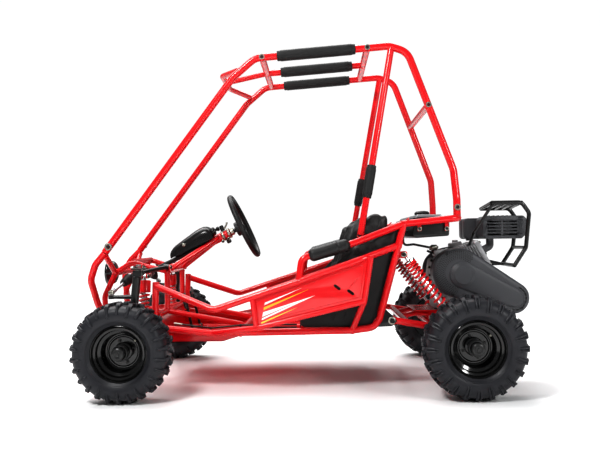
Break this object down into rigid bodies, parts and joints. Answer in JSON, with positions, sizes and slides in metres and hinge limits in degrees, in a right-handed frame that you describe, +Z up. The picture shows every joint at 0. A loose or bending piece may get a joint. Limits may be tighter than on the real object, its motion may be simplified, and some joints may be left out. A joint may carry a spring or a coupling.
{
  "type": "off road go kart",
  "caption": "Off-road kart: welded tube chassis with bolted roll cage, bench seat, rack steering, wishbone front and swing-arm rear suspension with rear engine.",
  "frame": {"origin": "centre of the bounding box's footprint, on the ground", "axes": "+X to the rear, +Y to the driver's right, +Z up"},
  "size_m": [1.721, 1.092, 1.3102],
  "materials": {
    "black_paint": "satin",
    "black_plastic": "satin",
    "black_rim": "satin",
    "cast_silver": "satin",
    "chrome": "polished",
    "foam": "matt",
    "grey_plastic": "matt",
    "red_paint": "gloss",
    "steel": "satin",
    "tyre_rubber": "matt",
    "vinyl": "satin"
  },
  "bodies": {
    "frame": {"main_frame": "red_paint", "side_frame_left": "red_paint", "side_frame_right": "red_paint", "seat_tub": "black_plastic", "seat": "vinyl", "armrest_pad_left": "vinyl", "armrest_pad_right": "vinyl", "cage_hoop_left": "red_paint", "cage_hoop_right": "red_paint", "roof_frame": "red_paint", "rear_crossbar": "red_paint", "roof_pad_left": "foam", "roof_pad_centre": "foam", "roof_pad_right": "foam", "pillar_grip_left": "foam", "pillar_grip_right": "foam", "dash_cowl": "grey_plastic", "headlight": "black_plastic", "fuel_tank": "black_plastic", "rack_housing": "black_paint", "control_cables": "black_plastic"},
    "steering": {"steering_wheel": "black_plastic"},
    "rack": {"rack_bar": "steel"},
    "swing": {"swing_arm": "red_paint", "engine": "cast_silver", "belt_cover": "grey_plastic", "muffler_guard": "grey_plastic", "air_cleaner": "black_plastic", "engine_rack": "black_paint"},
    "rear_wheels": {"rear_axle": "black_rim", "rear_tyre_left": "tyre_rubber", "rear_tyre_right": "tyre_rubber"},
    "throttle": {"throttle_pedal": "black_paint"},
    "brake": {"brake_pedal": "black_paint"},
    "lower_arm_left": {"lower_arm_left": "red_paint"},
    "upper_arm_left": {"upper_arm_left": "black_paint"},
    "upright_left": {"kingpin_left": "black_paint"},
    "knuckle_left": {"knuckle_left": "black_paint"},
    "front_wheel_left": {"front_rim_left": "black_rim", "front_tyre_left": "tyre_rubber"},
    "tie_rod_left": {"tie_rod_left": "steel"},
    "front_damper_rod_left": {"front_damper_rod_left": "chrome", "front_spring_left": "red_paint"},
    "front_damper_tube_left": {"front_damper_tube_left": "black_paint"},
    "rear_damper_rod_left": {"rear_damper_rod_left": "chrome", "rear_spring_left": "red_paint"},
    "rear_damper_tube_left": {"rear_damper_tube_left": "black_paint"},
    "lower_arm_right": {"lower_arm_right": "red_paint"},
    "upper_arm_right": {"upper_arm_right": "black_paint"},
    "upright_right": {"kingpin_right": "black_paint"},
    "knuckle_right": {"knuckle_right": "black_paint"},
    "front_wheel_right": {"front_rim_right": "black_rim", "front_tyre_right": "tyre_rubber"},
    "tie_rod_right": {"tie_rod_right": "steel"},
    "front_damper_rod_right": {"front_damper_rod_right": "chrome", "front_spring_right": "red_paint"},
    "front_damper_tube_right": {"front_damper_tube_right": "black_paint"},
    "rear_damper_rod_right": {"rear_damper_rod_right": "chrome", "rear_spring_right": "red_paint"},
    "rear_damper_tube_right": {"rear_damper_tube_right": "black_paint"}
  },
  "joints": [
    {"name": "steering_wheel_turn", "type": "hinge", "parent": "frame", "child": "steering", "pos_m": [-0.2747, 0, 0.62235], "axis": [-0.9063, 0, -0.4226], "range_deg": [-90, 90]},
    {"name": "rack_travel", "type": "slide", "parent": "frame", "child": "rack", "axis": [0, 1, 0], "range_m": [-0.0309, 0.0309]},
    {"name": "swing_arm_swing", "type": "hinge", "parent": "frame", "child": "swing", "pos_m": [0.3053, 0, 0.25735], "axis": [0, -1, 0], "range_deg": [-6, 6], "stiffness_Nm_per_rad": 9000},
    {"name": "rear_axle_spin", "type": "hinge", "parent": "swing", "child": "rear_wheels", "pos_m": [0.5743, 0, 0.18035], "axis": [0, 1, 0], "continuous": true},
    {"name": "lower_arm_left_swing", "type": "hinge", "parent": "frame", "child": "lower_arm_left", "pos_m": [-0.6577, -0.172, 0.22335], "axis": [-1, 0, 0], "range_deg": [-6, 6], "stiffness_Nm_per_rad": 2600},
    {"name": "upper_arm_left_swing", "type": "hinge", "parent": "frame", "child": "upper_arm_left", "pos_m": [-0.6577, -0.172, 0.46135], "axis": [-1, 0, 0], "range_deg": [-6.5, 6.5]},
    {"name": "upright_left_tilt", "type": "hinge", "parent": "lower_arm_left", "child": "upright_left", "pos_m": [-0.65424, -0.352, 0.20835], "axis": [-1, 0, 0], "range_deg": [-6.5, 6.5]},
    {"name": "knuckle_left_steer", "type": "hinge", "parent": "upright_left", "child": "knuckle_left", "pos_m": [-0.64164, -0.372, 0.32835], "axis": [0.1044, 0, 0.9945], "range_deg": [-20, 20]},
    {"name": "front_wheel_left_spin", "type": "hinge", "parent": "knuckle_left", "child": "front_wheel_left", "pos_m": [-0.6577, -0.47, 0.17535], "axis": [0, 1, 0], "continuous": true},
    {"name": "tie_rod_left_swing", "type": "hinge", "parent": "rack", "child": "tie_rod_left", "pos_m": [-0.70792, -0.185, 0.42034], "axis": [-1, 0, 0], "range_deg": [-6.5, 6.5]},
    {"name": "front_damper_left_turn", "type": "hinge", "parent": "frame", "child": "front_damper_rod_left", "pos_m": [-0.6357, -0.235, 0.42835], "axis": [-1, 0, 0], "range_deg": [-3, 3]},
    {"name": "front_damper_left_slide", "type": "slide", "parent": "front_damper_rod_left", "child": "front_damper_tube_left", "axis": [0, 0.1407, 0.9901], "range_m": [-0.0106, 0.0106], "deforming": ["front_spring_left"]},
    {"name": "rear_damper_left_turn", "type": "hinge", "parent": "frame", "child": "rear_damper_rod_left", "pos_m": [0.3573, -0.28, 0.50035], "axis": [0, -1, 0], "range_deg": [-4, 4]},
    {"name": "rear_damper_left_slide", "type": "slide", "parent": "rear_damper_rod_left", "child": "rear_damper_tube_left", "axis": [-0.6022, 0, 0.7983], "range_m": [-0.0207, 0.0207], "deforming": ["rear_spring_left"]},
    {"name": "lower_arm_right_swing", "type": "hinge", "parent": "frame", "child": "lower_arm_right", "pos_m": [-0.6577, 0.172, 0.22335], "axis": [1, 0, 0], "range_deg": [-6, 6], "stiffness_Nm_per_rad": 2600},
    {"name": "upper_arm_right_swing", "type": "hinge", "parent": "frame", "child": "upper_arm_right", "pos_m": [-0.6577, 0.172, 0.46135], "axis": [1, 0, 0], "range_deg": [-6.5, 6.5]},
    {"name": "upright_right_tilt", "type": "hinge", "parent": "lower_arm_right", "child": "upright_right", "pos_m": [-0.65424, 0.352, 0.20835], "axis": [1, 0, 0], "range_deg": [-6.5, 6.5]},
    {"name": "knuckle_right_steer", "type": "hinge", "parent": "upright_right", "child": "knuckle_right", "pos_m": [-0.64164, 0.372, 0.32835], "axis": [0.1044, 0, 0.9945], "range_deg": [-20, 20]},
    {"name": "front_wheel_right_spin", "type": "hinge", "parent": "knuckle_right", "child": "front_wheel_right", "pos_m": [-0.6577, 0.47, 0.17535], "axis": [0, 1, 0], "continuous": true},
    {"name": "tie_rod_right_swing", "type": "hinge", "parent": "rack", "child": "tie_rod_right", "pos_m": [-0.70792, 0.185, 0.42034], "axis": [1, 0, 0], "range_deg": [-6.5, 6.5]},
    {"name": "front_damper_right_turn", "type": "hinge", "parent": "frame", "child": "front_damper_rod_right", "pos_m": [-0.6357, 0.235, 0.42835], "axis": [1, 0, 0], "range_deg": [-3, 3]},
    {"name": "front_damper_right_slide", "type": "slide", "parent": "front_damper_rod_right", "child": "front_damper_tube_right", "axis": [0, -0.1407, 0.9901], "range_m": [-0.0106, 0.0106], "deforming": ["front_spring_right"]},
    {"name": "rear_damper_right_turn", "type": "hinge", "parent": "frame", "child": "rear_damper_rod_right", "pos_m": [0.3573, 0.28, 0.50035], "axis": [0, -1, 0], "range_deg": [-4, 4]},
    {"name": "rear_damper_right_slide", "type": "slide", "parent": "rear_damper_rod_right", "child": "rear_damper_tube_right", "axis": [-0.6022, 0, 0.7983], "range_m": [-0.0207, 0.0207], "deforming": ["rear_spring_right"]},
    {"name": "throttle_pedal_press", "type": "hinge", "parent": "frame", "child": "throttle", "pos_m": [-0.4797, 0.086, 0.19835], "axis": [0, -1, 0], "range_deg": [0, 18], "stiffness_Nm_per_rad": 2, "springref_deg": -11.46},
    {"name": "brake_pedal_press", "type": "hinge", "parent": "frame", "child": "brake", "pos_m": [-0.4797, -0.086, 0.19835], "axis": [0, -1, 0], "range_deg": [0, 18], "stiffness_Nm_per_rad": 2, "springref_deg": -11.46}
  ],
  "couplings": [
    {"joint": "rack_travel", "follows": "steering_wheel_turn", "m_per_rad": 0.01906},
    {"joint": "upper_arm_left_swing", "follows": "lower_arm_left_swing", "ratio": 1},
    {"joint": "upright_left_tilt", "follows": "lower_arm_left_swing", "ratio": -1},
    {"joint": "knuckle_left_steer", "follows": "steering_wheel_turn", "ratio": -0.218},
    {"joint": "tie_rod_left_swing", "follows": "lower_arm_left_swing", "ratio": 0.96257},
    {"joint": "front_damper_left_turn", "follows": "lower_arm_left_swing", "ratio": -0.0114},
    {"joint": "front_damper_left_slide", "follows": "lower_arm_left_swing", "m_per_rad": 0.09122},
    {"joint": "rear_damper_left_turn", "follows": "swing_arm_swing", "ratio": 0.44018},
    {"joint": "rear_damper_left_slide", "follows": "swing_arm_swing", "m_per_rad": 0.18785},
    {"joint": "upper_arm_right_swing", "follows": "lower_arm_right_swing", "ratio": 1},
    {"joint": "upright_right_tilt", "follows": "lower_arm_right_swing", "ratio": -1},
    {"joint": "knuckle_right_steer", "follows": "steering_wheel_turn", "ratio": -0.218},
    {"joint": "tie_rod_right_swing", "follows": "lower_arm_right_swing", "ratio": 0.96257},
    {"joint": "front_damper_right_turn", "follows": "lower_arm_right_swing", "ratio": -0.0114},
    {"joint": "front_damper_right_slide", "follows": "lower_arm_right_swing", "m_per_rad": 0.09122},
    {"joint": "rear_damper_right_turn", "follows": "swing_arm_swing", "ratio": 0.44018},
    {"joint": "rear_damper_right_slide", "follows": "swing_arm_swing", "m_per_rad": 0.18785}
  ]
}
